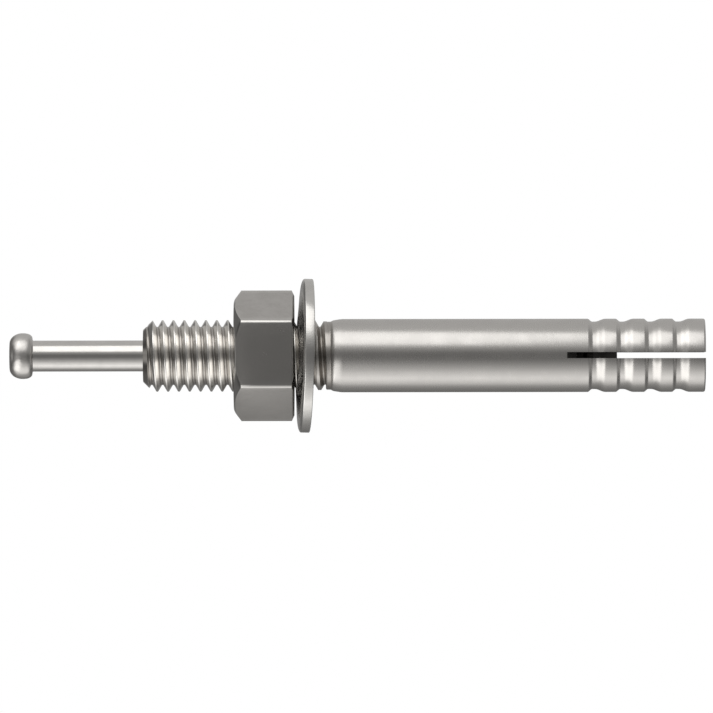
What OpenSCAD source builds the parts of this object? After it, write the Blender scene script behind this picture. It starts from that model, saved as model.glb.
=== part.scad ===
// Hammer drive anchor: a threaded stud with a slotted expansion end, its drive pin, nut and washer.
// It lies along X with the pin head at -X. The part's lowest point is at Z = 0. Units are mm.

/* [Anchor body] */
// Length of the turned body, from the stud's end face to the slotted end
body_length = 77.8; // [60:0.1:120]
// Outer diameter of the plain shank
shank_d = 10.15; // [8:0.05:12]
// Diameter of the short neck behind the thread
neck_d = 9.42; // [8:0.02:10]
// Distance from the stud's end face to the start of the neck
neck_at = 25.3; // [20:0.1:40]
// Length of the neck's straight part
neck_length = 0.78; // [0.3:0.01:3]
// Length of the cone from the neck up to the shank
shoulder_length = 1.4; // [0.5:0.1:4]
// Diameter of the hole that guides the drive pin
bore_d = 4.45; // [4:0.01:5]
// Depth of that hole at full diameter
bore_depth = 61; // [50:0.1:75]
// Diameter of the narrow hole that the pin wedges open
wedge_bore_d = 2.8; // [1.5:0.1:4]

/* [Thread] */
// Major diameter of the stud's thread
thread_d = 9.92; // [9.7:0.01:10]
// Root diameter of the stud's thread
thread_root_d = 8.04; // [7.9:0.01:8.4]
// Distance between two crests
thread_pitch = 1.5; // [1:0.25:2]
// Width of the flat on a crest
crest_flat = 0.19; // [0.1:0.01:0.3]
// Distance from the end face to a crest, on the +Y side
crest_at = 0.825; // [0:0.005:1.5]
// Length of the 45 degree chamfer at the stud's end
stud_chamfer = 1.36; // [0.5:0.01:2]
// Distance from the end face to where the crests are no longer fully formed
thread_end_at = 23.9; // [20:0.1:30]
// Outer diameter of those last crests
thread_end_d = 9.52; // [9:0.02:9.9]
// Radial gap between the nut's thread flanks and the stud's
thread_gap = 0.12; // [0.05:0.01:0.2]
// Diameter of the hole through the nut's thread
nut_minor_d = 8.5; // [8.3:0.01:8.7]

/* [Expansion end] */
// Number of ring grooves
groove_count = 4; // [1:1:6]
// Distance from the stud's end face to the first groove
groove_at = 61.53; // [50:0.01:70]
// Distance from groove to groove
groove_pitch = 3.88; // [3:0.01:6]
// Depth of a groove
groove_depth = 0.4; // [0.1:0.05:0.8]
// Length of a groove's steep side
groove_drop = 0.65; // [0.2:0.05:1]
// Length of a groove's floor
groove_floor = 0.35; // [0.1:0.05:1]
// Length of a groove's gentle side
groove_rise = 1.5; // [0.5:0.05:2]
// Width of the saw cut that splits the end in two
slit_width = 0.85; // [0.4:0.05:1.5]
// Distance from the end face to where the cut leaves the near side
slit_near_at = 58.6; // [50:0.1:70]
// The same on the far side
slit_far_at = 66; // [50:0.1:72]
// Radius of the saw blade, which the cut's closed end follows
saw_r = 25; // [15:1:60]

/* [Drive pin] */
// Diameter of the pin's shaft
pin_d = 4.29; // [4:0.01:5]
// Diameter of the pin's upset head
pin_head_d = 6.34; // [5:0.01:8]
// Length of the head
pin_head_length = 3.17; // [2:0.01:5]
// How far the shaft stands out of the stud
pin_stroke = 15.33; // [5:0.01:25]
// How deep the shaft reaches into the body
pin_depth = 60; // [40:0.1:75]
// How far inwards the head's struck edge is rounded
pin_head_round = 1.4; // [0.2:0.05:1.5]
// How far along the head that rounding reaches
pin_head_slope = 1.8; // [0.2:0.05:2.2]
// Radius of the head's edge on the shaft side
pin_head_under_round = 0.7; // [0.1:0.05:1]

/* [Nut] */
// Width across the nut's flats
nut_flats = 15.76; // [15:0.01:17]
// Height of the nut
nut_height = 8.39; // [6:0.01:10]
// Distance from the stud's end face to the nut
nut_at = 12.55; // [0:0.05:20]
// Turn of the nut's flats about the axis, in degrees
nut_turn = -1.57; // [-30:0.01:30]
// Radius of the nut's outer face, where the large chamfer starts
nut_outer_face_r = 7.84; // [7:0.01:8]
// Length of the large chamfer at the nut's corners
nut_outer_chamfer = 1.11; // [0.3:0.01:2]
// Radius of the nut's washer face, where the small chamfer starts
nut_inner_face_r = 8.27; // [7.5:0.01:9]
// Length of the small chamfer at the nut's corners
nut_inner_chamfer = 0.4; // [0.1:0.01:1]
// Radius of the countersink at both ends of the thread
nut_sink_r = 5.3; // [5.1:0.05:6]

/* [Washer] */
// Outer diameter of the washer
washer_d = 21.3; // [18:0.1:25]
// Hole diameter of the washer
washer_hole_d = 10.8; // [10.2:0.1:12]
// Thickness of the washer
washer_t = 1.6; // [1:0.05:2.5]
// Distance from the stud's end face to the washer's middle
washer_at = 22.45; // [20:0.01:26]
// Lean of the washer towards the near side, in degrees
washer_lean = 2.9; // [0:0.1:8]
// Lean of the washer's top, in degrees
washer_nod = 1.4; // [0:0.1:4]
// How far the punch drew down the rim's edge on the nut side
washer_round = 0.45; // [0.1:0.05:0.6]
// How far inwards that rounding reaches
washer_roll = 1.4; // [0.3:0.1:2]
// How far the nut side rises from the rim to the hole
washer_dome = 0.3; // [0:0.05:0.4]

/* [Hidden] */

FULL_TURN = 360;
THREAD_SIDES = 32;
FLANK_ANGLE = 30;
DRILL_TIP_ANGLE = 59;
CURVE_STEPS = 6;
WAVE_STEPS = 5;
SMOOTH = 96;
EDGE = 0.2;
PAST = 1;

// The lowest point of a leaning disc, seen from its centre.
washer_up = sin(washer_nod);
washer_reach = washer_d / 2 * sqrt(1 - washer_up * washer_up) + washer_t / 2 * washer_up;
middle_x = (body_length - pin_stroke - pin_head_length) / 2;

// Places its children along the anchor's axis, z running from the stud's end face towards +X.
module on_axis(at = 0) {
  translate([at - middle_x, 0, washer_reach]) rotate([90, 0, 90]) children();
}

function arc(x, y, r, from, to) = oval(x, y, r, r, from, to);

function oval(x, y, r, h, from, to) =
  [for (i = [0:CURVE_STEPS]) let (a = from + (to - from) * i / CURVE_STEPS) [x + r * cos(a), y + h * sin(a)]];

// A closed rod with a right-hand helical ridge, from z = 0 to z = length.
// crest_z is where a crest crosses the x side. Rows of points follow the ridge, and those past
// either end are gathered on that end's ring, so that the surface closes without slivers.
module screw_rod(length, crest_r, root_r, crest_z) {
  flank = (crest_r - root_r) * tan(FLANK_ANGLE);
  cuts = [0, crest_flat, crest_flat + flank, thread_pitch - flank];
  radii = [crest_r, crest_r, root_r, root_r];
  shift = (crest_z - crest_flat / 2) % thread_pitch;
  rows = len(cuts) * (ceil(length / thread_pitch) + 4);
  function height(i, j) =
    thread_pitch * (floor(i / len(cuts)) - 2 + j / THREAD_SIDES) + cuts[i % len(cuts)] + shift;
  function at_angle(r, j, z) = [r * cos(FULL_TURN * j / THREAD_SIDES), r * sin(FULL_TURN * j / THREAD_SIDES), z];
  function index(i, j) =
    j == THREAD_SIDES ? index(i + len(cuts), 0)
    : height(i, j) <= 0 ? j
    : height(i, j) >= length ? THREAD_SIDES + j
    : (i + 2) * THREAD_SIDES + j;
  ends = [for (z = [0, length]) for (j = [0:THREAD_SIDES - 1]) at_angle(root_r, j, z)];
  ridge = [for (i = [0:rows - 1]) for (j = [0:THREAD_SIDES - 1])
    at_angle(radii[i % len(cuts)], j, min(max(height(i, j), 0), length))];
  patches = [for (i = [0:rows - 2]) for (j = [0:THREAD_SIDES - 1])
    let (a = index(i, j), b = index(i + 1, j), c = index(i + 1, j + 1), d = index(i, j + 1))
    for (f = [[a, b, c], [a, c, d]]) if (f[0] != f[1] && f[1] != f[2] && f[2] != f[0]) f];
  polyhedron(
    points = concat(ends, ridge),
    faces = concat(
      [[for (j = [0:THREAD_SIDES - 1]) j]],
      [[for (j = [THREAD_SIDES - 1:-1:0]) THREAD_SIDES + j]],
      patches
    ),
    convexity = 10
  );
}

function groove_wave(u) =
  u < groove_drop ? (1 - cos(180 * u / groove_drop)) / 2
  : u < groove_drop + groove_floor ? 1
  : (1 + cos(180 * (u - groove_drop - groove_floor) / groove_rise)) / 2;

// The outline of the neck, shoulder, shank and ring grooves, as radius and distance.
module shank_outline() {
  shoulder_at = neck_at + neck_length;
  waves = concat(
    [for (i = [0:WAVE_STEPS]) groove_drop * i / WAVE_STEPS],
    [for (i = [0:WAVE_STEPS]) groove_drop + groove_floor + groove_rise * i / WAVE_STEPS]
  );
  polygon(concat(
    [[0, neck_at], [neck_d / 2 - EDGE, neck_at], [neck_d / 2, neck_at + EDGE]],
    [[neck_d / 2, shoulder_at], [shank_d / 2, shoulder_at + shoulder_length]],
    [for (k = [0:groove_count - 1]) for (u = waves)
      [shank_d / 2 - groove_depth * groove_wave(u), groove_at + k * groove_pitch + u]],
    [[shank_d / 2, body_length - EDGE], [shank_d / 2 - EDGE, body_length], [0, body_length]]
  ));
}

// The stud's threaded end, chamfered at its free end, with lower crests at the other.
module stud() {
  run_out = 0.35;
  half_formed = (thread_d - thread_end_d) / 2;
  start_r = thread_d / 2 - stud_chamfer;
  difference() {
    translate([0, 0, -PAST])
      screw_rod(neck_at + run_out + PAST, thread_d / 2, thread_root_d / 2, crest_at + PAST);
    rotate_extrude($fn = SMOOTH) polygon([
      [0, -2 * PAST], [thread_d, -2 * PAST], [thread_d, thread_d - start_r], [start_r, 0], [0, 0]
    ]);
    rotate_extrude($fn = SMOOTH) polygon([
      [thread_d / 2 + PAST, thread_end_at - PAST], [thread_end_d / 2, thread_end_at + half_formed],
      [thread_end_d / 2, body_length], [thread_d / 2 + PAST, body_length]
    ]);
  }
}

// The pin's guide hole, its drill point and the narrow hole beyond.
module body_bore() {
  point = (bore_d - wedge_bore_d) / 2 / tan(DRILL_TIP_ANGLE);
  rotate_extrude($fn = SMOOTH) polygon([
    [0, -PAST], [bore_d / 2 + EDGE + PAST, -PAST], [bore_d / 2, EDGE], [bore_d / 2, bore_depth],
    [wedge_bore_d / 2, bore_depth + point], [wedge_bore_d / 2, body_length + PAST], [0, body_length + PAST]
  ]);
}

// The saw blade at the end of its cut. It comes in from the near side, so the cut is longer there.
module saw_cut() {
  half = shank_d / 2;
  half_chord = norm([slit_far_at - slit_near_at, shank_d]) / 2;
  back = sqrt(saw_r * saw_r - half_chord * half_chord);
  tilt = atan2(slit_far_at - slit_near_at, shank_d);
  translate([-back * sin(tilt), 0, (slit_near_at + slit_far_at) / 2 + back * cos(tilt)])
    rotate([90, 0, 0]) cylinder(r = saw_r, h = slit_width, center = true, $fn = SMOOTH);
}

module anchor_body() {
  color("silver") on_axis() difference() {
    union() {
      stud();
      rotate_extrude($fn = SMOOTH) shank_outline();
    }
    body_bore();
    saw_cut();
  }
}

module drive_pin() {
  head_r = pin_head_d / 2;
  nose = 0.5;
  fillet = 0.15;
  color("gainsboro") on_axis(-pin_stroke - pin_head_length) rotate_extrude($fn = SMOOTH) polygon(concat(
    [[0, 0]],
    oval(head_r - pin_head_round, pin_head_slope, pin_head_round, pin_head_slope, -90, 0),
    arc(head_r - pin_head_under_round, pin_head_length - pin_head_under_round, pin_head_under_round, 0, 90),
    [[pin_d / 2 + fillet, pin_head_length], [pin_d / 2, pin_head_length + fillet]],
    [[pin_d / 2, pin_head_length + pin_stroke + pin_depth - nose]],
    [[pin_d / 2 - nose, pin_head_length + pin_stroke + pin_depth], [0, pin_head_length + pin_stroke + pin_depth]]
  ));
}

// The hexagon inside the cones that chamfer its corners, before the thread is cut.
module nut_blank() {
  corner_r = nut_flats / 2 / cos(FLANK_ANGLE);
  outer_slope = nut_outer_chamfer / (corner_r - nut_outer_face_r);
  inner_slope = nut_inner_chamfer / (corner_r - nut_inner_face_r);
  wide_r = corner_r + EDGE;
  intersection() {
    rotate([0, 0, 30 + nut_turn]) cylinder(r = corner_r, h = nut_height, $fn = 6);
    rotate_extrude($fn = SMOOTH) polygon([
      [0, 0], [nut_outer_face_r, 0], [wide_r, (wide_r - nut_outer_face_r) * outer_slope],
      [wide_r, nut_height - (wide_r - nut_inner_face_r) * inner_slope],
      [nut_inner_face_r, nut_height], [0, nut_height]
    ]);
  }
}

module nut_sink() {
  minor_r = nut_minor_d / 2 - EDGE;
  cylinder(r1 = nut_sink_r, r2 = minor_r, h = nut_sink_r - minor_r, $fn = SMOOTH);
}

module hex_nut() {
  lead = 0.7;
  color("darkgray") on_axis(nut_at) difference() {
    nut_blank();
    translate([0, 0, -lead]) screw_rod(
      nut_height + 2 * lead, thread_d / 2 + thread_gap, nut_minor_d / 2, crest_at - nut_at + lead + 9 * thread_pitch
    );
    nut_sink();
    translate([0, 0, nut_height]) mirror([0, 0, 1]) nut_sink();
  }
}

module plain_washer() {
  rim = washer_d / 2;
  hole = washer_hole_d / 2;
  color("lightgray") on_axis(washer_at)
    rotate([0, washer_lean, 0]) rotate([washer_nod, 0, 0]) translate([0, 0, -washer_t / 2])
    rotate_extrude($fn = SMOOTH) polygon(concat(
      [[hole, EDGE - washer_dome], [hole + EDGE, -washer_dome]],
      oval(rim - washer_roll, washer_round, washer_roll, washer_round, -90, 0),
      [[rim, washer_t - EDGE / 2], [rim - EDGE / 2, washer_t], [hole, washer_t]]
    ));
}

anchor_body();
drive_pin();
hex_nut();
plain_washer();
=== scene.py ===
"""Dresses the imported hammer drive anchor: its threaded body, drive pin, nut and washer.

Every piece is turned, threaded, milled or sawn in bench coordinates first: millimetres, with Z along
the anchor's axis and zero at the stud's end face. It is laid down into the row frame when it is done.
"""

import logging
import math
from dataclasses import dataclass, field
from enum import Enum
from typing import Any, Iterable, Optional, Sequence, Union

import bpy
from mathutils import Matrix, Quaternion, Vector


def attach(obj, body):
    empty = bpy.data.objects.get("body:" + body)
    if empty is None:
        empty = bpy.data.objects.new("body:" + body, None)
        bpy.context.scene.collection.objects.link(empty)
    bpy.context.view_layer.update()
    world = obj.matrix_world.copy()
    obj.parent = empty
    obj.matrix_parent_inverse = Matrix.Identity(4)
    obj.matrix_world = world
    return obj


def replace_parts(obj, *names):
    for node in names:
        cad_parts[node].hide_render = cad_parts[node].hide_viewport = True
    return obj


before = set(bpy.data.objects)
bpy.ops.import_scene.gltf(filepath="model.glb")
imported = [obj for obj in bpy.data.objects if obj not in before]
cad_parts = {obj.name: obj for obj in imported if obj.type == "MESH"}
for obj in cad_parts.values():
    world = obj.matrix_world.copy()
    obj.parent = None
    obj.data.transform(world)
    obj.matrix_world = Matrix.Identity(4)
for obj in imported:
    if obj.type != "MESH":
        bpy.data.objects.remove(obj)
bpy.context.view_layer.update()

LOG = logging.getLogger("hammer_drive_anchor")

Outline = Sequence[tuple[float, float]]
Stops = tuple[tuple[float, float], ...]
Colour = tuple[float, float, float]
Span = tuple[float, float]

MM = 0.001
AXIS_HEIGHT = 10.6664
STUD_FACE_X = -29.65
SIDES = 128
FINE_SIDES = 192
OVERCUT = 1.0
THREAD_PITCH = 1.5
CREST_AT = 0.825
DRILL_POINT = 118.0
FLANK = math.radians(30)
HALF_CORNER = math.radians(30)
# Painted shade, blended into the thread roots and into the neck behind the washer.
NECK_AND_ROOT_SHADE = (0.3, 0.275, 0.25)
# UNLIT is painted shade, for the body's bore and slit and for the pin deep inside the body.
UNLIT = (0.07, 0.065, 0.06)


class Cut(Enum):
    """The ways two solids are put together on the bench."""

    JOIN = "UNION"
    REMOVE = "DIFFERENCE"
    KEEP_COMMON = "INTERSECT"


# ---------------------------------------------------------------- bench


def arc(
    x: float, y: float, r: float, start: float, end: float, steps: int = 6, reach: Optional[float] = None
) -> list[tuple[float, float]]:
    """Gives points along an arc, or an oval's arc, in the outline's plane.

    Args:
        x: Centre, measured as a radius from the axis.
        y: Centre, measured along the axis.
        r: Radius of the arc.
        start: First angle in degrees.
        end: Last angle in degrees.
        steps: Number of chords.
        reach: Radius along the axis, where it isn't r.

    Returns:
        The points, as radius and distance.
    """
    turns = [math.radians(start + (end - start) * i / steps) for i in range(steps + 1)]
    return [(x + r * math.cos(t), y + (reach or r) * math.sin(t)) for t in turns]


class Bench:
    """Where a piece is made, one operator after another."""

    @staticmethod
    def deselect() -> None:
        """Leaves nothing selected, as every new primitive needs."""
        if bpy.context.object is not None and bpy.context.object.mode != "OBJECT":
            bpy.ops.object.mode_set(mode="OBJECT")
        bpy.ops.object.select_all(action="DESELECT")

    @staticmethod
    def take(piece: bpy.types.Object) -> None:
        """Makes one piece the active one, and the only one selected."""
        Bench.deselect()
        piece.select_set(True)
        bpy.context.view_layer.objects.active = piece

    @staticmethod
    def heal(piece: bpy.types.Object, gap: float = 1e-5) -> None:
        """Merges doubled points and points all faces outwards.

        Args:
            piece: The solid.
            gap: Points closer than this become one.
        """
        Bench.take(piece)
        bpy.ops.object.mode_set(mode="EDIT")
        bpy.ops.mesh.select_all(action="SELECT")
        bpy.ops.mesh.remove_doubles(threshold=gap)
        bpy.ops.mesh.normals_make_consistent(inside=False)
        bpy.ops.object.mode_set(mode="OBJECT")

    @staticmethod
    def turn(name: str, outline: Outline, sides: int = SIDES, hollow: bool = False) -> bpy.types.Object:
        """Turns an outline into a solid, ring after ring.

        Args:
            name: The new object's name.
            outline: Radius and distance of each ring.
            sides: Number of sides of each ring.
            hollow: Whether the outline closes on itself, as a washer's does.

        Returns:
            The closed solid.
        """
        Bench.deselect()
        r, z = outline[0]
        bpy.ops.mesh.primitive_circle_add(
            vertices=sides, radius=r, fill_type="NOTHING" if hollow else "NGON", location=(0, 0, z)
        )
        piece = bpy.context.object
        piece.name = name
        bpy.ops.object.transform_apply(location=True, rotation=True, scale=True)
        bpy.ops.object.mode_set(mode="EDIT")
        bpy.ops.mesh.select_all(action="SELECT")
        rings = list(outline[1:]) + ([outline[0]] if hollow else [])
        for next_r, next_z in rings:
            bpy.ops.mesh.extrude_region_move(TRANSFORM_OT_translate={"value": (0, 0, next_z - z)})
            bpy.ops.transform.resize(value=(next_r / r, next_r / r, 1), center_override=(0, 0, next_z))
            r, z = next_r, next_z
        bpy.ops.object.mode_set(mode="OBJECT")
        Bench.heal(piece)
        return piece

    @staticmethod
    def thread(name: str, tooth: Outline, start: float, length: float, steps: int = 96) -> bpy.types.Object:
        """Winds one thread tooth round the axis and cuts both ends square.

        Args:
            name: The new object's name.
            tooth: One pitch of the ridge, as radius and distance, with its crest at distance 0.
            start: Where the rod starts, along the axis.
            length: Length of the rod.
            steps: Chords in a turn.

        Returns:
            The closed threaded rod.
        """
        Bench.deselect()
        first = math.floor((start - CREST_AT) / THREAD_PITCH) - 2
        turns = math.ceil(length / THREAD_PITCH) + 4
        r, z = tooth[0]
        bpy.ops.mesh.primitive_plane_add(size=0.1, location=(r, 0, z + CREST_AT + first * THREAD_PITCH))
        piece = bpy.context.object
        piece.name = name
        bpy.ops.object.transform_apply(location=True, rotation=True, scale=True)
        bpy.ops.object.mode_set(mode="EDIT")
        bpy.ops.mesh.select_all(action="SELECT")
        bpy.ops.mesh.merge(type="CENTER")
        for next_r, next_z in tooth[1:]:
            bpy.ops.mesh.extrude_vertices_move(
                TRANSFORM_OT_translate={"value": (next_r - r, 0, next_z - z)}
            )
            r, z = next_r, next_z
        bpy.ops.object.mode_set(mode="OBJECT")
        wind = piece.modifiers.new("wind", "SCREW")
        wind.axis = "Z"
        wind.angle = math.tau
        wind.screw_offset = THREAD_PITCH
        wind.iterations = turns
        wind.steps = wind.render_steps = steps
        bpy.ops.object.modifier_apply(modifier=wind.name)
        bpy.ops.object.mode_set(mode="EDIT")
        bpy.ops.mesh.select_all(action="SELECT")
        bpy.ops.mesh.remove_doubles(threshold=1e-4)
        for height, low in ((start, True), (start + length, False)):
            bpy.ops.mesh.select_all(action="SELECT")
            bpy.ops.mesh.bisect(
                plane_co=(0, 0, height), plane_no=(0, 0, 1), use_fill=True,
                clear_inner=low, clear_outer=not low, threshold=1e-5,
            )
        bpy.ops.object.mode_set(mode="OBJECT")
        Bench.heal(piece)
        return piece

    @staticmethod
    def combine(piece: bpy.types.Object, tool: bpy.types.Object, way: Cut) -> None:
        """Joins, removes or intersects a tool solid, and throws the tool away.

        Args:
            piece: The solid that is worked on.
            tool: The solid that works on it.
            way: How they are combined.
        """
        Bench.take(piece)
        work = piece.modifiers.new(tool.name, "BOOLEAN")
        work.operation = way.value
        work.solver = "EXACT"
        work.object = tool
        bpy.ops.object.modifier_apply(modifier=work.name)
        bpy.data.objects.remove(tool, do_unlink=True)

    @staticmethod
    def ease(piece: bpy.types.Object, width: float, angle: float, segments: int = 2) -> None:
        """Rounds the sharp edges a little.

        Args:
            piece: The solid.
            width: Width of the rounding.
            angle: Edges that turn by more than this many degrees are rounded.
            segments: Number of faces across the rounding.
        """
        Bench.take(piece)
        edge = piece.modifiers.new("ease", "BEVEL")
        edge.width = width
        edge.segments = segments
        edge.limit_method = "ANGLE"
        edge.angle_limit = math.radians(angle)
        edge.use_clamp_overlap = True
        bpy.ops.object.modifier_apply(modifier=edge.name)

    @staticmethod
    def lay_down(piece: bpy.types.Object, smooth: float = 32.0) -> None:
        """Moves a finished piece from the bench into the row frame, and shades it.

        Args:
            piece: The piece, in bench millimetres.
            smooth: Edges that turn by less than this many degrees are shaded smooth.
        """
        Bench.take(piece)
        piece.matrix_world = Matrix(
            (
                (0, 0, MM, STUD_FACE_X * MM),
                (MM, 0, 0, 0),
                (0, MM, 0, AXIS_HEIGHT * MM),
                (0, 0, 0, 1),
            )
        )
        bpy.ops.object.transform_apply(location=True, rotation=True, scale=True)
        bpy.ops.object.shade_smooth_by_angle(angle=math.radians(smooth))


# ---------------------------------------------------------------- shader maths


class Wire:
    """One output socket in a node tree, with arithmetic that adds Math nodes."""

    def __init__(self, desk: "Desk", socket: bpy.types.NodeSocket) -> None:
        """Keeps the socket and the desk that wired it."""
        self.desk = desk
        self.socket = socket

    def _math(self, operation: str, *values: Any) -> "Wire":
        """Adds one Math node and gives its result."""
        return self.desk.add("ShaderNodeMath", {"operation": operation}, dict(enumerate(values)))

    def __add__(self, other: Any) -> "Wire":
        """Adds a value."""
        return self._math("ADD", self, other)

    def __radd__(self, other: Any) -> "Wire":
        """Adds to a value."""
        return self._math("ADD", other, self)

    def __sub__(self, other: Any) -> "Wire":
        """Takes a value away."""
        return self._math("SUBTRACT", self, other)

    def __rsub__(self, other: Any) -> "Wire":
        """Is taken away from a value."""
        return self._math("SUBTRACT", other, self)

    def __mul__(self, other: Any) -> "Wire":
        """Multiplies by a value."""
        return self._math("MULTIPLY", self, other)

    def __truediv__(self, other: Any) -> "Wire":
        """Divides by a value."""
        return self._math("DIVIDE", self, other)

    def absolute(self) -> "Wire":
        """Drops the sign."""
        return self._math("ABSOLUTE", self)

    def at_least(self, other: Any) -> "Wire":
        """Gives the larger value."""
        return self._math("MAXIMUM", self, other)

    def root(self) -> "Wire":
        """Takes the square root."""
        return self._math("SQRT", self)

    def step(self, low: float, high: float) -> "Wire":
        """Eases from 0 at low to 1 at high; low may be the larger one.

        Args:
            low: Where the result is 0.
            high: Where the result is 1.

        Returns:
            The eased value.
        """
        return self.desk.add(
            "ShaderNodeMapRange",
            {"interpolation_type": "SMOOTHSTEP"},
            {"Value": self, "From Min": low, "From Max": high, "To Min": 0.0, "To Max": 1.0},
        )


class Desk:
    """A node tree that is being wired."""

    def __init__(self, tree: bpy.types.NodeTree) -> None:
        """Starts from an empty tree."""
        self.tree = tree
        tree.nodes.clear()

    def node(self, kind: str, settings: dict[str, Any], inputs: dict[Union[str, int], Any]) -> bpy.types.Node:
        """Adds a node, its settings first, and then the values or links of its sockets.

        Args:
            kind: The node's type.
            settings: Its properties; "stops" sets a ramp's positions and colours.
            inputs: Socket name or number to value or Wire.

        Returns:
            The node.
        """
        node = self.tree.nodes.new(kind)
        for key, value in settings.items():
            if key == "stops":
                self._stops(node, value)
            elif key == "interpolation":
                node.color_ramp.interpolation = value
            else:
                setattr(node, key, value)
        for key, value in inputs.items():
            socket = node.inputs[key]
            if isinstance(value, Wire):
                self.tree.links.new(value.socket, socket)
            else:
                socket.default_value = value
        return node

    def add(
        self,
        kind: str,
        settings: Optional[dict[str, Any]] = None,
        inputs: Optional[dict[Union[str, int], Any]] = None,
        output: Union[str, int] = 0,
    ) -> Wire:
        """Adds a node and gives one of its outputs.

        Args:
            kind: The node's type.
            settings: Its properties.
            inputs: Socket name or number to value or Wire.
            output: Name or number of the output.

        Returns:
            The output, as a Wire.
        """
        return Wire(self, self.node(kind, settings or {}, inputs or {}).outputs[output])

    @staticmethod
    def _stops(node: bpy.types.Node, stops: Iterable[tuple[float, Any]]) -> None:
        """Sets a colour ramp's stops."""
        elements = node.color_ramp.elements
        wanted = list(stops)
        while len(elements) < len(wanted):
            elements.new(1.0)
        while len(elements) > len(wanted):
            elements.remove(elements[-1])
        for element, (place, colour) in zip(elements, wanted):
            element.position = place
            element.color = (colour, colour, colour, 1) if isinstance(colour, (int, float)) else (*colour, 1)

    def blend(self, share: Any, first: Any, second: Any) -> Wire:
        """Mixes two colours.

        Args:
            share: 0 for the first and 1 for the second.
            first: A Wire, or a red, green and blue value.
            second: The same.

        Returns:
            The colour.
        """
        colours = [c if isinstance(c, Wire) else (*c, 1.0) for c in (first, second)]
        return self.add(
            "ShaderNodeMix",
            {"data_type": "RGBA"},
            {0: share, 6: colours[0], 7: colours[1]},
            output=2,
        )

    def noise(self, at: Wire, scale: float = 1.0, detail: float = 3.0, roughness: float = 0.6) -> Wire:
        """Gives soft noise about 0.5.

        Args:
            at: The place, as a vector.
            scale: Cells in a unit.
            detail: Number of finer layers.
            roughness: Strength of the finer layers.

        Returns:
            The noise value.
        """
        return self.add(
            "ShaderNodeTexNoise", {}, {"Vector": at, "Scale": scale, "Detail": detail, "Roughness": roughness}
        )

    def vector(self, x: Any = 0.0, y: Any = 0.0, z: Any = 0.0) -> Wire:
        """Puts three values together as a vector."""
        return self.add("ShaderNodeCombineXYZ", {}, {"X": x, "Y": y, "Z": z})


@dataclass
class Place:
    """Where a point of a piece lies, as a finish reads it: millimetres from the stud's end face."""

    along: Wire
    across: Wire
    up: Wire
    radius: Wire
    point: Wire

    @classmethod
    def on(cls, desk: Desk) -> "Place":
        """Reads it from the object's own coordinates.

        Args:
            desk: The material's tree.

        Returns:
            The place.
        """
        spot = desk.add("ShaderNodeTexCoord", output="Object")
        scaled = desk.add(
            "ShaderNodeMapping",
            {"vector_type": "POINT"},
            {
                "Vector": spot,
                "Location": (-STUD_FACE_X, 0, -AXIS_HEIGHT),
                "Scale": (1 / MM, 1 / MM, 1 / MM),
            },
        )
        split = desk.node("ShaderNodeSeparateXYZ", {}, {0: scaled})
        x, y, z = (Wire(desk, split.outputs[i]) for i in range(3))
        return cls(x, y, z, (y * y + z * z).root(), scaled)

    def around(self, desk: Desk, turns: float, lengthwise: float) -> Wire:
        """Gives a vector for noise that runs round the axis and meets itself again.

        Args:
            desk: The material's tree.
            turns: How fast the noise changes round the axis.
            lengthwise: How fast it changes along the axis, per millimetre.

        Returns:
            The vector.
        """
        side, rise = self.across / self.radius, self.up / self.radius
        return desk.vector(self.along * lengthwise, side * turns, rise * turns)


@dataclass(frozen=True)
class Steel:
    """What all of the anchor's finishes share: bare stainless steel."""

    name: str
    colour: Colour
    shade: Colour
    roughness: float
    relief: float = 0.003

    def dress(self, piece: bpy.types.Object) -> None:
        """Builds the material and gives it to a piece.

        Args:
            piece: The piece.
        """
        material = bpy.data.materials.new(self.name)
        material.use_nodes = True
        desk = Desk(material.node_tree)
        place = Place.on(desk)
        colour, roughness, height = self.surface(desk, place)
        normal = desk.add(
            "ShaderNodeBump", {}, {"Strength": 1.0, "Distance": self.relief * MM, "Height": height}
        )
        shader = desk.add(
            "ShaderNodeBsdfPrincipled",
            {},
            {"Base Color": colour, "Metallic": 1.0, "Roughness": roughness, "Normal": normal},
        )
        desk.node("ShaderNodeOutputMaterial", {}, {"Surface": shader})
        piece.data.materials.clear()
        piece.data.materials.append(material)

    def surface(self, desk: Desk, place: Place) -> tuple[Wire, Wire, Wire]:
        """Gives colour, roughness and height; relief is the height's size in millimetres."""
        raise NotImplementedError

    def mottled(self, desk: Desk, place: Place, scale: float) -> Wire:
        """Gives slow cloudy variation from 0 to 1, as handled bare steel shows."""
        return desk.noise(place.point, scale, detail=4.0).step(0.3, 0.7)


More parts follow.
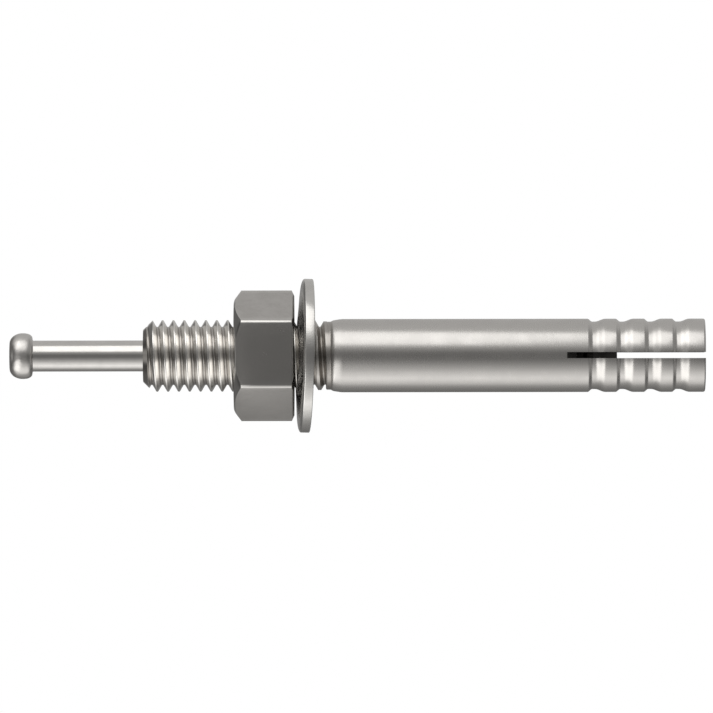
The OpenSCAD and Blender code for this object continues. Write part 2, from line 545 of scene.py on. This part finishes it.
@dataclass(frozen=True)
class TurnedSteel(Steel):
    """The body: a rolled thread, a turned and ground shank, and a sawn end."""

    ring_scale: float = 9.0
    bore_r: float = 2.225
    bore_end: float = 62.5
    wedge_bore_r: float = 1.4
    slit_half: float = 0.44
    slit_from: float = 57.0
    skin_r: float = 5.06
    root_r: float = 4.1
    thread_end: float = 25.4
    neck_from: float = 23.2
    neck_end: float = 26.05
    cloud_share: float = 0.3
    ring_share: float = 0.15
    streak_share: float = 0.35
    root_shade_share: float = 0.6
    neck_shade_share: float = 0.55
    recess_shade_share: float = 0.85
    ring_dull: float = 0.12
    cloud_dull: float = 0.05
    recess_dull: float = 0.2
    rolled_gloss: float = 0.06
    rolled_smooth: float = 0.85
    fine_height: float = 0.2
    saw_height: float = 2.0
    rolled_colour: Colour = (0.84, 0.825, 0.8)
    rolled_shade: Colour = (0.76, 0.74, 0.71)

    def surface(self, desk: Desk, place: Place) -> tuple[Wire, Wire, Wire]:
        """Draws tool rings round the axis, painted shade in the thread roots, at the neck behind the washer,
        in the bore and in the slit, and a rough saw cut.
        """
        wander = desk.noise(place.point, scale=0.5, detail=2.0, roughness=0.55)
        rings = desk.noise(desk.vector(place.along * self.ring_scale + wander * 0.6), roughness=0.7)
        fine = desk.noise(place.around(desk, turns=1.5, lengthwise=40.0), detail=2.0)
        streaks = desk.noise(place.around(desk, turns=9.0, lengthwise=0.09))
        cloud = self.mottled(desk, place, 0.35)
        # Painted shade in the thread roots: root marks where the colour is darkened.
        root = place.radius.step(self.root_r + 0.3, self.root_r)
        bore = place.radius.step(self.bore_r + 0.12, self.bore_r + 0.04)
        bore = bore * place.along.step(self.bore_end + 0.5, self.bore_end - 0.5)
        inside = bore.at_least(place.radius.step(self.wedge_bore_r + 0.1, self.wedge_bore_r + 0.04))
        slit = place.up.absolute().step(self.slit_half, self.slit_half - 0.03)
        slit = slit * place.radius.step(self.skin_r, self.skin_r - 0.04)
        slit = slit * place.along.step(self.slit_from, self.slit_from + 1.0)
        rolled = place.along.step(self.thread_end + 0.6, self.thread_end - 0.6)
        # Painted shade in the bore and the slit, which are blended towards UNLIT.
        recess_shade = inside.at_least(slit)
        # Painted shade behind the washer: neck marks the band of thread and neck that is darkened.
        neck = place.along.step(self.neck_from, self.neck_from + 0.6)
        neck = neck * place.along.step(self.neck_end + 0.15, self.neck_end)
        shaded = cloud * self.cloud_share + rings * self.ring_share + streaks * self.streak_share
        colour = desk.blend(shaded, self.colour, self.shade)
        colour = desk.blend(rolled, colour, desk.blend(cloud * 0.5, self.rolled_colour, self.rolled_shade))
        # Painted shade: the thread roots, the neck behind the washer, the bore and the slit are darkened.
        colour = desk.blend(root * rolled * self.root_shade_share, colour, NECK_AND_ROOT_SHADE)
        colour = desk.blend(neck * self.neck_shade_share, colour, NECK_AND_ROOT_SHADE)
        colour = desk.blend(recess_shade * self.recess_shade_share, colour, UNLIT)
        roughness = self.roughness + (rings - 0.5) * self.ring_dull + (cloud - 0.5) * self.cloud_dull
        roughness = roughness + recess_shade * self.recess_dull - rolled * self.rolled_gloss
        saw = desk.noise(desk.vector(place.along * 14.0, place.across * 1.2), detail=2.0, roughness=0.55)
        height = rings * (1.0 - slit) * (1.0 - rolled * self.rolled_smooth)
        height = height + fine * self.fine_height * (1.0 - rolled) + saw * slit * self.saw_height
        return colour, roughness, height


@dataclass(frozen=True)
class DrawnSteel(Steel):
    """The pin: drawn bright wire with an upset head."""

    head_end: float = -15.33
    head_colour: Colour = (0.5, 0.485, 0.47)
    cloud_share: float = 0.5
    head_share: float = 0.2
    unlit_share: float = 0.9
    line_dull: float = 0.08
    head_dull: float = 0.15
    cloud_dull: float = 0.04
    line_height: float = 0.5
    ring_height: float = 0.25
    dent_height: float = 14.0
    unlit_from: float = 20.0
    unlit_at: float = 40.0

    def surface(self, desk: Desk, place: Place) -> tuple[Wire, Wire, Wire]:
        """Draws fine lines along the shaft and a slightly hammered head."""
        lines = desk.noise(place.around(desk, turns=14.0, lengthwise=0.05), roughness=0.65)
        rings = desk.noise(desk.vector(place.along * 7.0), detail=2.0)
        cloud = self.mottled(desk, place, 0.6)
        head = place.along.step(self.head_end + 0.1, self.head_end - 0.1)
        dents = desk.noise(place.point, scale=1.1, roughness=0.5)
        unlit = place.along.step(self.unlit_from, self.unlit_at)
        colour = desk.blend(cloud * self.cloud_share, self.colour, self.shade)
        colour = desk.blend(head * self.head_share, colour, self.head_colour)
        colour = desk.blend(unlit * self.unlit_share, colour, UNLIT)
        roughness = self.roughness + (lines - 0.5) * self.line_dull + head * self.head_dull
        roughness = roughness + (cloud - 0.5) * self.cloud_dull
        height = (lines * self.line_height + rings * self.ring_height) * (1.0 - head)
        height = height + dents * head * self.dent_height
        return colour, roughness, height


@dataclass(frozen=True)
class ForgedSteel(Steel):
    """The nut: cold forged and tumbled, worn bright along its corners, with a painted highlight along them.
    """

    relief: float = 0.006
    corner_r: float = 9.1
    thread_r: float = 5.3
    face_at: float = 12.55
    chamfer_r: float = 7.84
    chamfer_slope: float = 0.881
    cloud_share: float = 0.6
    scuff_share: float = 0.2
    worn_highlight_share: float = 0.5
    bore_shade_share: float = 0.6
    grain_dull: float = 0.12
    cloud_dull: float = 0.08
    wear_gloss: float = 0.07
    grain_height: float = 0.7
    cloud_height: float = 0.8
    worn_highlight_colour: Colour = (0.74, 0.73, 0.71)
    thread_shade_colour: Colour = (0.17, 0.16, 0.15)

    def surface(self, desk: Desk, place: Place) -> tuple[Wire, Wire, Wire]:
        """Draws tumbling marks, worn corners and chamfer edges lightened as a painted highlight, and painted
        shade in the thread.
        """
        cloud = self.mottled(desk, place, 0.5)
        grain = desk.noise(place.point, scale=9.0, detail=4.0)
        scuffs = desk.noise(desk.vector(place.along * 1.4, place.across * 5.0, place.up * 5.0))
        corner = place.radius.step(self.corner_r - 0.5, self.corner_r - 0.1)
        rise = (place.radius - self.chamfer_r) * self.chamfer_slope
        rim = (place.along - self.face_at - rise).absolute().step(0.3, 0.08)
        # Corners and chamfer edge: real wear, and a painted highlight in their lighter colour.
        wear_and_highlight = corner.at_least(rim * place.radius.step(self.chamfer_r - 0.1, self.chamfer_r + 0.05))
        # Painted shade in the nut's thread: inside marks the bore that is darkened.
        inside = place.radius.step(self.thread_r - 0.1, self.thread_r - 0.6)
        colour = desk.blend(cloud * self.cloud_share + scuffs * self.scuff_share, self.colour, self.shade)
        # Painted highlight on the worn corners and chamfer edge.
        colour = desk.blend(wear_and_highlight * self.worn_highlight_share, colour, self.worn_highlight_colour)
        # Painted shade in the thread.
        colour = desk.blend(inside * self.bore_shade_share, colour, self.thread_shade_colour)
        roughness = self.roughness + (grain - 0.5) * self.grain_dull + (cloud - 0.5) * self.cloud_dull
        roughness = roughness - wear_and_highlight * self.wear_gloss
        height = grain * self.grain_height + scuffs + cloud * self.cloud_height
        return colour, roughness, height


@dataclass(frozen=True)
class PunchedSteel(Steel):
    """The washer: punched from strip, with shear lines across its rim."""

    relief: float = 0.004
    rim_r: float = 10.3
    cloud_share: float = 0.6
    strip_share: float = 0.4
    strip_dull: float = 0.1
    cloud_dull: float = 0.06
    shear_height: float = 1.4

    def surface(self, desk: Desk, place: Place) -> tuple[Wire, Wire, Wire]:
        """Draws rolled strip on the faces and shear lines on the rim."""
        cloud = self.mottled(desk, place, 0.45)
        strip = desk.noise(desk.vector(place.along, place.across * 0.5, place.up * 9.0))
        shear = desk.noise(place.around(desk, turns=40.0, lengthwise=0.7))
        rim = place.radius.step(self.rim_r - 0.2, self.rim_r)
        shaded = cloud * self.cloud_share + (strip - 0.5) * self.strip_share
        colour = desk.blend(shaded, self.colour, self.shade)
        roughness = self.roughness + (strip - 0.5) * self.strip_dull + (cloud - 0.5) * self.cloud_dull
        height = strip * (1.0 - rim) + shear * rim * self.shear_height
        return colour, roughness, height


# ---------------------------------------------------------------- pieces


@dataclass
class ThreadForm:
    """The ridge of a metric thread, with its corners rounded as rolling leaves them."""

    crest_r: float
    root_r: float
    crest_flat: float = 0.19
    rounding: float = 0.07

    def tooth(self) -> list[tuple[float, float]]:
        """Gives one pitch of the ridge, starting and ending in the root.

        Returns:
            Radius and distance of each point, with the crest's middle at distance 0.
        """
        flank = (self.crest_r - self.root_r) * math.tan(FLANK)
        half = self.crest_flat / 2
        root_half = THREAD_PITCH / 2 - half - flank
        reach = self.rounding
        lean = (reach * math.cos(FLANK), reach * math.sin(FLANK))
        left = [
            (self.root_r, -THREAD_PITCH / 2),
            (self.root_r, -half - flank - min(reach, root_half * 0.8)),
            (self.root_r + 0.25 * reach, -half - flank - 0.2 * reach),
            (self.root_r + lean[0], -half - flank + lean[1]),
            (self.crest_r - lean[0], -half - lean[1]),
            (self.crest_r - 0.25 * reach, -half - 0.02 * reach),
            (self.crest_r, -half + min(reach, half * 0.7)),
        ]
        return left + [(r, -z) for r, z in reversed(left)]


@dataclass
class AnchorBody:
    """The turned body: threaded stud, neck, shoulder, shank and the slotted ring end."""

    length: float = 77.8
    shank_r: float = 5.075
    neck_r: float = 4.71
    neck_at: float = 25.3
    neck_length: float = 0.78
    shoulder_length: float = 1.4
    shoulder_rise: Outline = ((0.02, -0.06), (0.14, 0.14), (0.19, 0.26), (0.25, 0.6))
    end_round: float = 0.28
    mouth: float = 0.2
    bore_r: float = 2.225
    bore_depth: float = 61.0
    wedge_bore_r: float = 1.4
    stud_chamfer: float = 1.36
    thread_end_at: float = 23.9
    thread_end_r: float = 4.76
    groove_count: int = 4
    groove_at: float = 61.53
    groove_pitch: float = 3.88
    groove_depth: float = 0.4
    groove_drop: float = 0.65
    groove_floor: float = 0.35
    groove_rise: float = 1.5
    slit_width: float = 0.85
    slit_near_at: float = 58.6
    slit_far_at: float = 66.0
    saw_r: float = 25.0
    ridge: ThreadForm = field(default_factory=lambda: ThreadForm(4.96, 4.02))
    finish: Steel = TurnedSteel("turned_stainless", (0.68, 0.665, 0.645), (0.58, 0.565, 0.55), 0.27)

    def _stud(self) -> bpy.types.Object:
        """Rolls the thread and turns the chamfer on its free end."""
        stud = Bench.thread("anchor_body", self.ridge.tooth(), -OVERCUT, self.neck_at + 0.35 + OVERCUT)
        start_r = self.ridge.crest_r - self.stud_chamfer
        wide = self.ridge.crest_r + 0.6
        slope = self.thread_end_at + self.ridge.crest_r
        blank = Bench.turn(
            "chamfer",
            [
                (start_r, 0),
                (wide, wide - start_r),
                (wide, slope - wide),
                (self.thread_end_r + 0.04, slope - self.thread_end_r - 0.04),
                (self.thread_end_r, self.thread_end_at + 0.35),
                (self.thread_end_r, self.neck_at + 0.33),
            ],
        )
        Bench.combine(stud, blank, Cut.KEEP_COMMON)
        return stud

    def _wave(self, share: float) -> float:
        """Gives the depth of a groove, from 0 to 1, at a distance from its start."""
        if share < self.groove_drop:
            return (1 - math.cos(math.pi * share / self.groove_drop)) / 2
        past = share - self.groove_drop - self.groove_floor
        return 1.0 if past < 0 else (1 + math.cos(math.pi * past / self.groove_rise)) / 2

    def _shank(self) -> bpy.types.Object:
        """Turns everything behind the thread."""
        shoulder = self.neck_at + self.neck_length
        rings = [self.groove_drop * i / 7 for i in range(8)]
        rings += [self.groove_drop + self.groove_floor * (i + 1) / 3 for i in range(2)]
        rings += [self.groove_drop + self.groove_floor + self.groove_rise * i / 9 for i in range(10)]
        outline = [
            (self.neck_r - 0.25, self.neck_at),
            *arc(self.neck_r - 0.2, self.neck_at + 0.2, 0.2, -90, 0, 4)[1:],
            (self.neck_r, shoulder - 0.16),
            *((self.neck_r + out, shoulder + on) for out, on in self.shoulder_rise),
            (self.shank_r - 0.04, shoulder + self.shoulder_length - 0.3),
            (self.shank_r - 0.01, shoulder + self.shoulder_length),
            (self.shank_r, shoulder + self.shoulder_length + 0.2),
        ]
        for groove in range(self.groove_count):
            start = self.groove_at + groove * self.groove_pitch
            outline += [(self.shank_r - self.groove_depth * self._wave(u), start + u) for u in rings]
        outline += arc(self.shank_r - self.end_round, self.length - self.end_round, self.end_round, 0, 90)
        return Bench.turn("shank", outline)

    def _bore(self) -> bpy.types.Object:
        """Gives the pin's guide hole, its drill point and the narrow hole beyond."""
        point = (self.bore_r - self.wedge_bore_r) / math.tan(math.radians(DRILL_POINT / 2))
        return Bench.turn(
            "bore",
            [
                (self.bore_r + self.mouth + OVERCUT, -OVERCUT),
                (self.bore_r, self.mouth),
                (self.bore_r, self.bore_depth),
                (self.wedge_bore_r, self.bore_depth + point),
                (self.wedge_bore_r, self.length + OVERCUT),
            ],
            sides=96,
        )

    def _saw(self) -> bpy.types.Object:
        """Gives the saw blade where its cut ends."""
        rise = self.slit_far_at - self.slit_near_at
        chord = math.hypot(rise, 2 * self.shank_r) / 2
        back = math.sqrt(self.saw_r**2 - chord**2)
        tilt = math.atan2(rise, 2 * self.shank_r)
        Bench.deselect()
        bpy.ops.mesh.primitive_cylinder_add(
            vertices=FINE_SIDES,
            radius=self.saw_r,
            depth=self.slit_width,
            location=(
                -back * math.sin(tilt),
                0,
                (self.slit_near_at + self.slit_far_at) / 2 + back * math.cos(tilt),
            ),
            rotation=(math.pi / 2, 0, 0),
        )
        blade = bpy.context.object
        blade.name = "saw_blade"
        bpy.ops.object.transform_apply(location=True, rotation=True, scale=True)
        return blade

    def build(self) -> bpy.types.Object:
        """Makes the body from its bar, its thread, its bore and its saw cut.

        Returns:
            The finished body.
        """
        body = self._stud()
        Bench.combine(body, self._shank(), Cut.JOIN)
        Bench.combine(body, self._bore(), Cut.REMOVE)
        Bench.combine(body, self._saw(), Cut.REMOVE)
        Bench.heal(body)
        body.name = "stainless_body"
        Bench.lay_down(body)
        return body

    def dress(self, piece: bpy.types.Object) -> None:
        """Gives the body its finish and its place in the frame."""
        self.finish.dress(piece)
        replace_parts(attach(piece, "body"), "anchor_body")


@dataclass
class DrivePin:
    """The pin that is hammered in: an upset head on a drawn shaft."""

    shaft_r: float = 2.145
    head_r: float = 3.17
    head_length: float = 3.17
    face_r: float = 0.9
    stroke: float = 15.33
    depth: float = 60.0
    head_round: float = 1.4
    head_slope: float = 1.8
    under_round: float = 0.8
    back_power: float = 2.4
    back_pace: float = 1.6
    fillet: float = 0.15
    tip: Outline = ((0.0, -0.6), (-0.06, -0.45), (-0.5, 0.0))
    finish: Steel = DrawnSteel("drawn_stainless", (0.76, 0.745, 0.725), (0.66, 0.65, 0.63), 0.18)

    def _back(self, start: float, end: float, steps: int = 10) -> list[tuple[float, float]]:
        """Rounds the head's back more and more towards the shaft, as upsetting leaves it."""
        shares = [1 - (1 - i / steps) ** self.back_pace for i in range(1, steps + 1)]
        drops = [1 - (1 - share**self.back_power) ** (1 / self.back_power) for share in shares]
        return [
            (self.head_r - self.under_round * drop, start + (end - start) * share)
            for share, drop in zip(shares, drops)
        ]

    def build(self) -> bpy.types.Object:
        """Makes the pin.

        Returns:
            The finished pin.
        """
        top = -self.stroke - self.head_length
        widest = top + self.head_slope
        neck = -self.stroke
        outline = [
            (self.face_r, top),
            *arc(self.head_r - self.head_round, widest, self.head_round, -90, 0, 14, self.head_slope),
            *self._back(widest, neck),
            *arc(self.shaft_r + self.fillet, neck + self.fillet, self.fillet, 270, 180, 5),
            (self.shaft_r, 0.0),
            *((self.shaft_r + out, self.depth + on) for out, on in self.tip),
        ]
        pin = Bench.turn("drive_pin_bright", outline)
        Bench.lay_down(pin)
        return pin

    def dress(self, piece: bpy.types.Object) -> None:
        """Gives the pin its finish and its place in the frame."""
        self.finish.dress(piece)
        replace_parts(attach(piece, "pin"), "drive_pin")


@dataclass
class HexNut:
    """The hexagon nut, chamfered on both faces and threaded through."""

    flats: float = 15.84
    height: float = 8.39
    at: float = 12.55
    turn: float = -1.57
    outer_face_r: float = 7.84
    outer_chamfer: float = 1.11
    inner_face_r: float = 8.27
    inner_chamfer: float = 0.4
    sink_r: float = 5.3
    minor_r: float = 4.25
    corner_round: float = 0.36
    edge_round: float = 0.12
    overrun: float = 0.7
    chamfer_rise: Outline = (
        (-0.6, 0.0), (-0.38, 0.03), (-0.18, 0.09),
        (0.01, 0.18), (0.19, 0.3), (0.37, 0.425),
    )
    ridge: ThreadForm = field(default_factory=lambda: ThreadForm(5.08, 4.25, 0.19, 0.05))
    finish: Steel = ForgedSteel("forged_stainless", (0.61, 0.595, 0.575), (0.52, 0.505, 0.485), 0.22)

    def _corner_r(self) -> float:
        """Gives the radius out to the hexagon's corners, before they are rounded."""
        return self.flats / 2 / math.cos(HALF_CORNER)

    def _hexagon(self) -> bpy.types.Object:
        """Makes the six flats, with the corners between them rounded."""
        Bench.deselect()
        bpy.ops.mesh.primitive_cylinder_add(
            vertices=6, radius=self._corner_r(), depth=self.height, location=(0, 0, self.at + self.height / 2)
        )
        nut = bpy.context.object
        nut.name = "nut"
        bpy.ops.object.transform_apply(location=True, rotation=True, scale=True)
        first = nut.data.vertices[0].co
        wanted = HALF_CORNER + math.radians(self.turn)
        nut.matrix_world = Matrix.Rotation(wanted - math.atan2(first.y, first.x), 4, "Z")
        bpy.ops.object.transform_apply(location=True, rotation=True, scale=True)
        bpy.ops.object.mode_set(mode="EDIT")
        bpy.ops.mesh.select_all(action="DESELECT")
        bpy.ops.object.mode_set(mode="OBJECT")
        for edge in nut.data.edges:
            low, high = (nut.data.vertices[i].co for i in edge.vertices)
            edge.select = abs(low.z - high.z) > 1
        bpy.ops.object.mode_set(mode="EDIT")
        bpy.ops.mesh.select_mode(type="EDGE")
        bpy.ops.mesh.bevel(offset=self.corner_round, offset_type="OFFSET", segments=5, affect="EDGES")
        bpy.ops.object.mode_set(mode="OBJECT")
        return nut

    def _chamfers(self) -> bpy.types.Object:
        """Turns the solid that trims the hexagon's corners."""
        corner_r = self._corner_r()
        wide = corner_r + 0.3
        outer = (wide - self.outer_face_r) * self.outer_chamfer / (corner_r - self.outer_face_r)
        inner = (wide - self.inner_face_r) * self.inner_chamfer / (corner_r - self.inner_face_r)
        top = self.at + self.height
        return Bench.turn(
            "chamfers",
            [
                *((self.outer_face_r + out, self.at + on) for out, on in self.chamfer_rise),
                (wide, self.at + outer),
                (wide, top - inner),
                (self.inner_face_r, top),
            ],
            sides=FINE_SIDES,
        )

    def _sink(self, at: float, way: int) -> bpy.types.Object:
        """Gives one countersink; way is 1 where it opens towards the head."""
        small = self.minor_r - 0.2
        cone = [(self.sink_r + 0.5, at - way * 0.5), (small, at + way * (self.sink_r - small))]
        return Bench.turn("sink", cone)

    def build(self) -> bpy.types.Object:
        """Makes the nut from its blank, its countersinks and its thread.

        Returns:
            The finished nut.
        """
        nut = self._hexagon()
        Bench.combine(nut, self._chamfers(), Cut.KEEP_COMMON)
        Bench.heal(nut, gap=1e-4)
        Bench.ease(nut, width=self.edge_round, angle=25)
        start, length = self.at - self.overrun, self.height + 2 * self.overrun
        tap = Bench.thread("tap", self.ridge.tooth(), start, length)
        Bench.combine(nut, tap, Cut.REMOVE)
        Bench.combine(nut, self._sink(self.at, 1), Cut.REMOVE)
        Bench.combine(nut, self._sink(self.at + self.height, -1), Cut.REMOVE)
        Bench.heal(nut)
        nut.name = "nut_forged"
        Bench.lay_down(nut, smooth=28)
        return nut

    def dress(self, piece: bpy.types.Object) -> None:
        """Gives the nut its finish and its place in the frame."""
        self.finish.dress(piece)
        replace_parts(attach(piece, "nut"), "hex_nut")


@dataclass
class PlainWasher:
    """The loose washer, which leans between nut and shoulder."""

    rim_r: float = 10.65
    hole_r: float = 5.4
    thickness: float = 1.6
    at: float = 22.45
    lean: float = 2.9
    nod: float = 1.4
    punch_round: float = 0.45
    punch_roll: float = 1.4
    dome: float = 0.3
    burr: float = 0.12
    hole_round: float = 0.2
    hole_edge: float = 0.05
    finish: Steel = PunchedSteel("punched_stainless", (0.74, 0.73, 0.71), (0.64, 0.63, 0.61), 0.25)

    def build(self) -> bpy.types.Object:
        """Makes the washer and leans it.

        Returns:
            The finished washer.
        """
        low, high = -self.thickness / 2, self.thickness / 2
        hole_at = self.hole_r + self.hole_round
        roll_at = self.rim_r - self.punch_roll
        roll = arc(roll_at, low + self.punch_round, self.punch_roll, -90, 0, 12, self.punch_round)
        outline = [
            *arc(hole_at, low + self.hole_round - self.dome, self.hole_round, 180, 270, 5),
            (roll_at - 0.3, low - 0.02),
            *roll[1:],
            *arc(self.rim_r - self.burr, high - self.burr, self.burr, 0, 90, 4),
            (self.rim_r * 0.75, high),
            (self.hole_r + self.hole_edge, high),
            (self.hole_r, high - self.hole_edge),
        ]
        washer = Bench.turn("washer_punched", outline, sides=FINE_SIDES, hollow=True)
        lean = Matrix.Rotation(math.radians(self.lean), 4, "Y")
        nod = Matrix.Rotation(math.radians(self.nod), 4, "X")
        washer.matrix_world = Matrix.Translation((0, 0, self.at)) @ lean @ nod
        bpy.ops.object.transform_apply(location=True, rotation=True, scale=True)
        Bench.lay_down(washer)
        return washer

    def dress(self, piece: bpy.types.Object) -> None:
        """Gives the washer its finish and its place in the frame."""
        self.finish.dress(piece)
        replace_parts(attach(piece, "washer"), "plain_washer")


# ---------------------------------------------------------------- studio


@dataclass
class Studio:
    """White surroundings with strips of light for the metal, a soft box, a pale floor and a long lens.

    A Span says where a patch of light or dark begins and where it is full, as a direction's share.
    """

    view_width: float = 98.75 * MM
    centre: tuple[float, float, float] = (-0.108 * MM, 0.0, 10.55 * MM)
    distance: float = 1.5
    roll: float = 0.08
    floor_half: float = 4.0
    lamp_distance: float = 0.8
    lamp_angle: float = 60.0
    lamp_aside: float = -0.2
    lamp_size: tuple[float, float] = (0.84, 0.66)
    lamp_level: float = 0.95
    lamp_colour: Colour = (1.0, 0.99, 0.975)
    sensor: float = 36.0
    floor_colour: Colour = (0.9, 0.9, 0.9)
    floor_glow: Colour = (0.42, 0.42, 0.42)
    tint: Colour = (1.0, 0.987, 0.968)
    peak: float = 1.8
    dark: float = 0.08
    level: float = 0.4
    behind: float = 0.15
    ends: float = 0.45
    card_left: Span = (-0.16, -0.34)
    card_front: Span = (0.25, -0.05)
    level_left: Span = (-0.45, -0.6)
    level_low: Span = (0.4, 0.25)
    dark_left: Span = (-0.66, -0.88)
    dim_right: Span = (0.3, 0.55)
    dim_below: Span = (-0.2, -0.5)
    dim_shift: float = 0.12
    dim_least: float = 0.4
    back_from: Span = (0.3, 0.5)
    back_gain: float = 0.3
    top_from: Span = (-0.2, 0.3)
    top_gain: float = 0.25
    behind_from: Span = (0.25, 0.5)
    behind_left: Span = (-0.2, -0.4)
    behind_low: Span = (0.75, 0.5)
    ends_from: Span = (0.955, 0.985)
    strips: Stops = (
        (-180, 0.3), (-158, 0.17), (-130, 0.26), (-114, 0.37), (-96, 0.84), (-78, 1.14),
        (-60, 0.86), (-40, 0.5), (-22, 0.28), (-10, 0.17), (8, 0.155), (18, 0.27),
        (34, 0.52), (88, 0.5), (98, 0.52), (170, 0.5), (180, 0.3),
    )
    left_card: Stops = (
        (-1, 1.2), (-0.92, 1.7), (-0.45, 1.7), (-0.28, 0.8), (-0.12, 0.2),
        (0.25, 0.2), (0.5, 0.8), (0.65, 1.0), (1, 0.8),
    )

    def _tone(self, level: float) -> Colour:
        """Gives a level as the slightly warm white of the studio, as a share of its brightest."""
        red, green, blue = self.tint
        share = level / self.peak
        return (share * red, share * green, share * blue)

    def _ramp(self, desk: Desk, value: Wire, stops: Stops) -> Wire:
        """Gives the tone at a value from -1 to 1, eased between the stops."""
        tones = [((at + 1) / 2, self._tone(level)) for at, level in stops]
        settings = {"stops": tones, "interpolation": "EASE"}
        return desk.add("ShaderNodeValToRGB", settings, {0: value * 0.5 + 0.5})

    def _strips(self, desk: Desk, x: Wire, y: Wire, z: Wire) -> Wire:
        """Gives what the metal sees, by direction: x to the right, y to the back and z up.

        Args:
            desk: The world's tree.
            x: The direction's share to the right.
            y: Its share to the back.
            z: Its share upwards.

        Returns:
            The light from there.
        """
        angle = desk.add("ShaderNodeMath", {"operation": "ARCTAN2"}, {0: z, 1: 0.0 - y})
        around = self._ramp(desk, angle / math.pi, tuple((a / 180, level) for a, level in self.strips))
        card = x.step(*self.card_left) * y.step(*self.card_front)
        around = desk.blend(card, around, self._ramp(desk, z, self.left_card))
        low = x.step(*self.level_left) * z.absolute().step(*self.level_low)
        around = desk.blend(low, around, self._tone(self.level))
        around = desk.blend(x.step(*self.dark_left), around, self._tone(self.dark))
        right = x - z.step(*self.dim_below) * self.dim_shift
        kept = y.step(*self.back_from) * self.back_gain + z.step(*self.top_from) * self.top_gain
        dimmed = self._scaled(desk, around, kept + self.dim_least)
        around = desk.blend(right.step(*self.dim_right), around, dimmed)
        behind = y.step(*self.behind_from) * x.step(*self.behind_left) * z.absolute().step(*self.behind_low)
        around = desk.blend(behind, around, self._tone(self.behind))
        around = desk.blend(x.absolute().step(*self.ends_from), around, self._tone(self.ends))
        return self._scaled(desk, around, self.peak)

    @staticmethod
    def _scaled(desk: Desk, colour: Wire, scale: Any) -> Wire:
        """Multiplies a colour by one value."""
        return desk.add("ShaderNodeVectorMath", {"operation": "SCALE"}, {0: colour, "Scale": scale})

    def world(self) -> None:
        """Sets the surroundings: white to the camera, and strips of light and dark along the anchor."""
        world = bpy.data.worlds.new("studio")
        bpy.context.scene.world = world
        world.use_nodes = True
        desk = Desk(world.node_tree)
        way = desk.node("ShaderNodeSeparateXYZ", {}, {0: desk.add("ShaderNodeTexCoord", output="Generated")})
        x, y, z = (Wire(desk, way.outputs[i]) for i in range(3))
        eye = desk.add("ShaderNodeLightPath", output="Is Camera Ray")
        seen = desk.blend(eye, self._strips(desk, x, y, z), (1.0, 1.0, 1.0))
        sky = desk.add("ShaderNodeBackground", {}, {"Color": seen, "Strength": 1.0})
        desk.node("ShaderNodeOutputWorld", {}, {"Surface": sky})

    def lamp(self) -> None:
        """Hangs the soft box above and in front of the anchor."""
        wide, deep = self.lamp_size
        light = bpy.data.lights.new("soft_box", "AREA")
        light.shape = "RECTANGLE"
        light.size, light.size_y = wide, deep
        light.color = self.lamp_colour
        light.energy = self.lamp_level * math.pi * wide * deep
        lamp = bpy.data.objects.new("soft_box", light)
        bpy.context.scene.collection.objects.link(lamp)
        angle = math.radians(self.lamp_angle)
        way = Vector((self.lamp_aside, -math.cos(angle), math.sin(angle))).normalized()
        lamp.location = Vector(self.centre) + way * self.lamp_distance
        lamp.rotation_euler = way.to_track_quat("Z", "Y").to_euler()

    def floor(self) -> None:
        """Lays a pale floor that is white to the camera and keeps the anchor's shadow."""
        Bench.deselect()
        bpy.ops.mesh.primitive_plane_add(size=2 * self.floor_half, location=(0, 0, 0))
        floor = bpy.context.object
        floor.name = "floor"
        floor.visible_glossy = False
        material = bpy.data.materials.new("pale_floor")
        material.use_nodes = True
        desk = Desk(material.node_tree)
        eye = desk.add("ShaderNodeLightPath", output="Is Camera Ray")
        shader = desk.add(
            "ShaderNodeBsdfPrincipled",
            {},
            {
                "Base Color": (*self.floor_colour, 1),
                "Roughness": 0.9,
                "Specular IOR Level": 0.0,
                "Emission Color": desk.blend(eye, (0.0, 0.0, 0.0), self.floor_glow),
                "Emission Strength": 1.0,
            },
        )
        desk.node("ShaderNodeOutputMaterial", {}, {"Surface": shader})
        floor.data.materials.append(material)

    def camera(self) -> None:
        """Places the camera level with the floor, so that the floor is seen edge on."""
        data = bpy.data.cameras.new("camera")
        data.sensor_width = self.sensor
        data.lens = self.sensor * self.distance / self.view_width
        data.clip_start, data.clip_end = 0.05, 20.0
        camera = bpy.data.objects.new("camera", data)
        bpy.context.scene.collection.objects.link(camera)
        target = Vector(self.centre)
        camera.location = (target.x, target.y - self.distance, 0.0)
        aim = (target - camera.location).to_track_quat("-Z", "Y")
        camera.rotation_euler = (aim @ Quaternion((0, 0, 1), math.radians(-self.roll))).to_euler()
        bpy.context.scene.camera = camera

    def build(self) -> None:
        """Sets up the whole studio."""
        bpy.context.scene.view_settings.view_transform = "Standard"
        self.world()
        self.lamp()
        self.floor()
        self.camera()


def main() -> None:
    """Builds the anchor's four pieces, dresses them and sets up the studio."""
    logging.basicConfig(level=logging.INFO, format="%(name)s: %(message)s")
    for part in (AnchorBody(), DrivePin(), PlainWasher(), HexNut()):
        piece = part.build()
        part.dress(piece)
        LOG.info("%s has %d faces", piece.name, len(piece.data.polygons))
    Studio().build()


if __name__ == "__main__":
    main()
